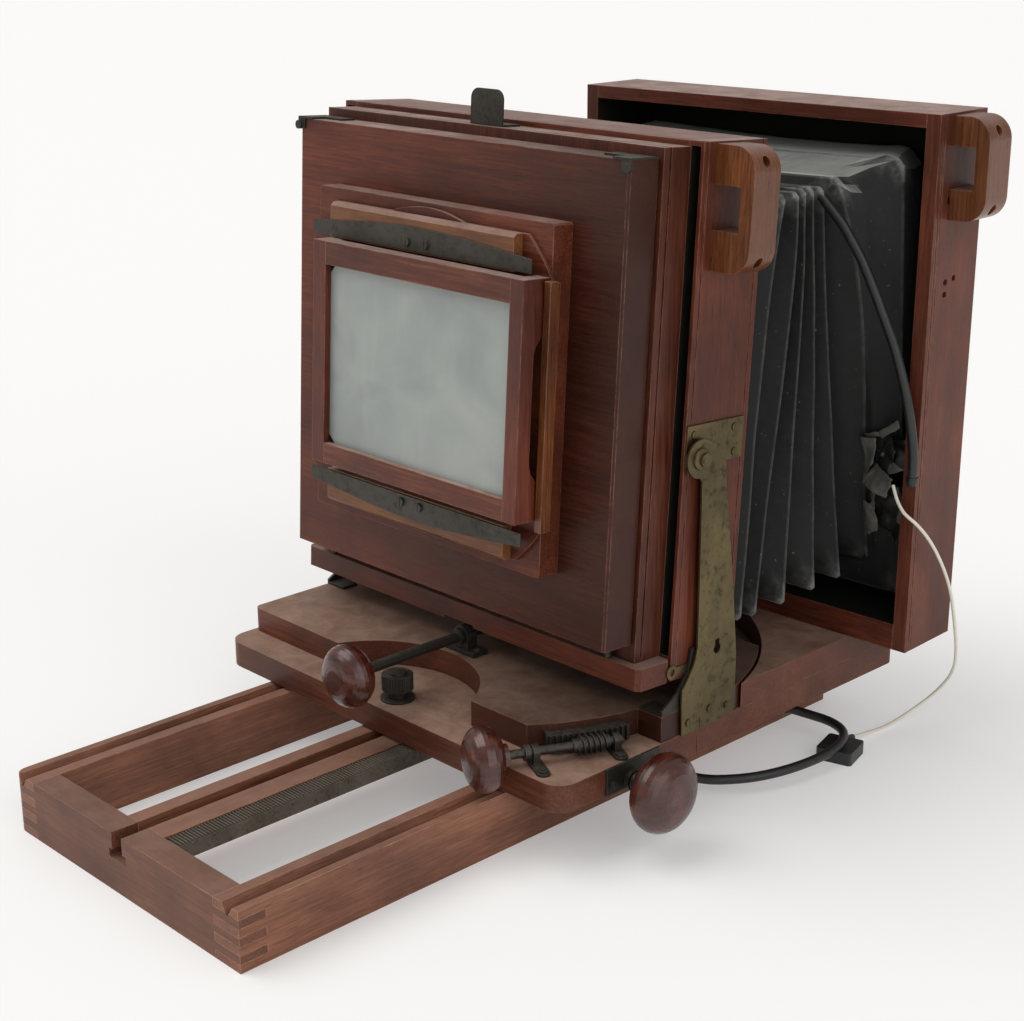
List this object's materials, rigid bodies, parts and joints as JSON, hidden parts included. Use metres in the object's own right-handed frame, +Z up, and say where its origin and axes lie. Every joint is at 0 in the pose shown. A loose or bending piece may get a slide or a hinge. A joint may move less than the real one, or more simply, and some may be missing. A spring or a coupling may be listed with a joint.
{
  "type": "studio plate camera",
  "caption": "Wooden studio plate camera with a ground-glass revolving back, tilt and swing, pleated bellows, a front box with lens, and a geared carriage on a grooved bed.",
  "frame": {"origin": "underside of the bed, straight below the point where the vertical swing axis and the tilt axis cross", "axes": "+Z up, +Y from the back of the camera towards the lens, +X to the right of someone standing behind the camera"},
  "size_m": [0.5663, 0.8604, 0.6188],
  "materials": {
    "mahogany": "satin, worn",
    "light_mahogany": "satin",
    "knob_wood": "polished",
    "brass": "aged",
    "dark_iron": "aged",
    "bellows_cloth": "matt coated cloth",
    "black_rubber": "matt",
    "white_pvc": "satin",
    "black_plastic": "matt",
    "frosted_glass": "ground",
    "lens_glass": "polished"
  },
  "bodies": {
    "bed": {"bed_side_rails": "mahogany", "bed_cross_near": "mahogany", "bed_cross_far": "mahogany", "bed_center_rail": "mahogany", "focus_rack": "dark_iron"},
    "carriage": {"base_board": "mahogany", "front_platform": "mahogany", "carriage_runners": "mahogany", "swing_pivot": "brass", "clamp_nut": "dark_iron", "pinion_bearings": "dark_iron", "board_fasteners": "dark_iron", "worm_brackets": "dark_iron", "hose_unions": "dark_iron", "floor_hose": "black_rubber", "hanging_tube": "black_rubber", "tube_end_cap": "black_rubber", "white_wire": "white_pvc", "connector_block": "black_plastic"},
    "clamp": {"clamp_screw": "dark_iron"},
    "pinion": {"pinion_shaft": "dark_iron", "focus_knob": "knob_wood"},
    "worm": {"worm_shaft": "dark_iron", "swing_knob": "knob_wood"},
    "swing_table": {"swing_table": "mahogany", "swing_rack": "dark_iron", "tilt_arms": "brass", "table_screws": "brass", "arm_brackets": "dark_iron", "tilt_bearing": "dark_iron"},
    "tilt_screw": {"tilt_shaft": "dark_iron", "tilt_knob": "knob_wood"},
    "rear_standard": {"rear_frame_sides": "mahogany", "rear_frame_rails": "mahogany", "rear_ledge": "mahogany", "middle_frame": "mahogany", "back_panel": "mahogany", "raised_square": "mahogany", "panel_fittings": "dark_iron", "pivot_plates": "brass", "pivot_nuts": "brass", "tilt_nut": "brass", "rear_grips": "light_mahogany"},
    "top_catch": {"top_catch": "dark_iron"},
    "revolving_back": {"revolving_disc": "mahogany", "disc_rails": "light_mahogany", "disc_guides": "light_mahogany", "back_springs": "dark_iron"},
    "glass_frame": {"glass_frame_stiles": "mahogany", "glass_frame_rails": "mahogany", "ground_glass": "frosted_glass"},
    "front_box": {"front_box_sides": "mahogany", "front_box_rails": "mahogany", "front_panel": "mahogany", "lens_board": "mahogany", "lens_flange": "brass", "lens_barrel": "brass", "lens_glasses": "lens_glass", "front_grips": "light_mahogany", "bellows": "bellows_cloth"}
  },
  "joints": [
    {"name": "carriage_slide", "type": "slide", "parent": "bed", "child": "carriage", "axis": [0, 1, 0], "range_m": [-0.25, 0.1]},
    {"name": "clamp_turn", "type": "hinge", "parent": "carriage", "child": "clamp", "pos_m": [-0.002, -0.139, 0.09], "axis": [0, 0, 1], "range_deg": [-90, 270]},
    {"name": "focus_turn", "type": "hinge", "parent": "carriage", "child": "pinion", "pos_m": [0.15, -0.079, 0.062], "axis": [1, 0, 0], "range_deg": [-575, 1435]},
    {"name": "back_swing", "type": "hinge", "parent": "carriage", "child": "swing_table", "pos_m": [0, 0, 0.093], "axis": [0, 0, 1], "range_deg": [-2.5, 2.5], "deforming": ["bellows"]},
    {"name": "worm_turn", "type": "hinge", "parent": "carriage", "child": "worm", "pos_m": [0.20308, -0.09918, 0.092], "axis": [0.4388, 0.8986, 0], "range_deg": [-690, 690]},
    {"name": "back_tilt", "type": "hinge", "parent": "swing_table", "child": "rear_standard", "pos_m": [0, 0, 0.33], "axis": [1, 0, 0], "range_deg": [-2.5, 8], "deforming": ["bellows"]},
    {"name": "tilt_screw_turn", "type": "hinge", "parent": "swing_table", "child": "tilt_screw", "pos_m": [0, -0.1, 0.121], "axis": [0, 1, 0], "range_deg": [-1055, 330]},
    {"name": "catch_lift", "type": "hinge", "parent": "rear_standard", "child": "top_catch", "pos_m": [0, -0.00351, 0.58721], "axis": [-1, 0, 0], "range_deg": [0, 15], "stiffness_Nm_per_rad": 1.5, "springref_deg": -1.15},
    {"name": "back_revolve", "type": "hinge", "parent": "rear_standard", "child": "revolving_back", "pos_m": [0, -0.10143, 0.37839], "axis": [0, 0.9984, -0.0563], "range_deg": [0, 90]},
    {"name": "glass_pull", "type": "slide", "parent": "revolving_back", "child": "glass_frame", "axis": [0, -0.9984, 0.0563], "range_m": [0, 0.016], "stiffness_N_per_m": 900, "springref_m": -0.008},
    {"name": "front_cross", "type": "slide", "parent": "carriage", "child": "front_box", "axis": [0.9991, 0.0422, 0], "range_m": [-0.11, 0], "deforming": ["bellows"]}
  ],
  "couplings": [
    {"joint": "focus_turn", "follows": "carriage_slide", "rad_per_m": -100},
    {"joint": "worm_turn", "follows": "back_swing", "ratio": -274.45},
    {"joint": "tilt_screw_turn", "follows": "back_tilt", "ratio": -131.32}
  ]
}
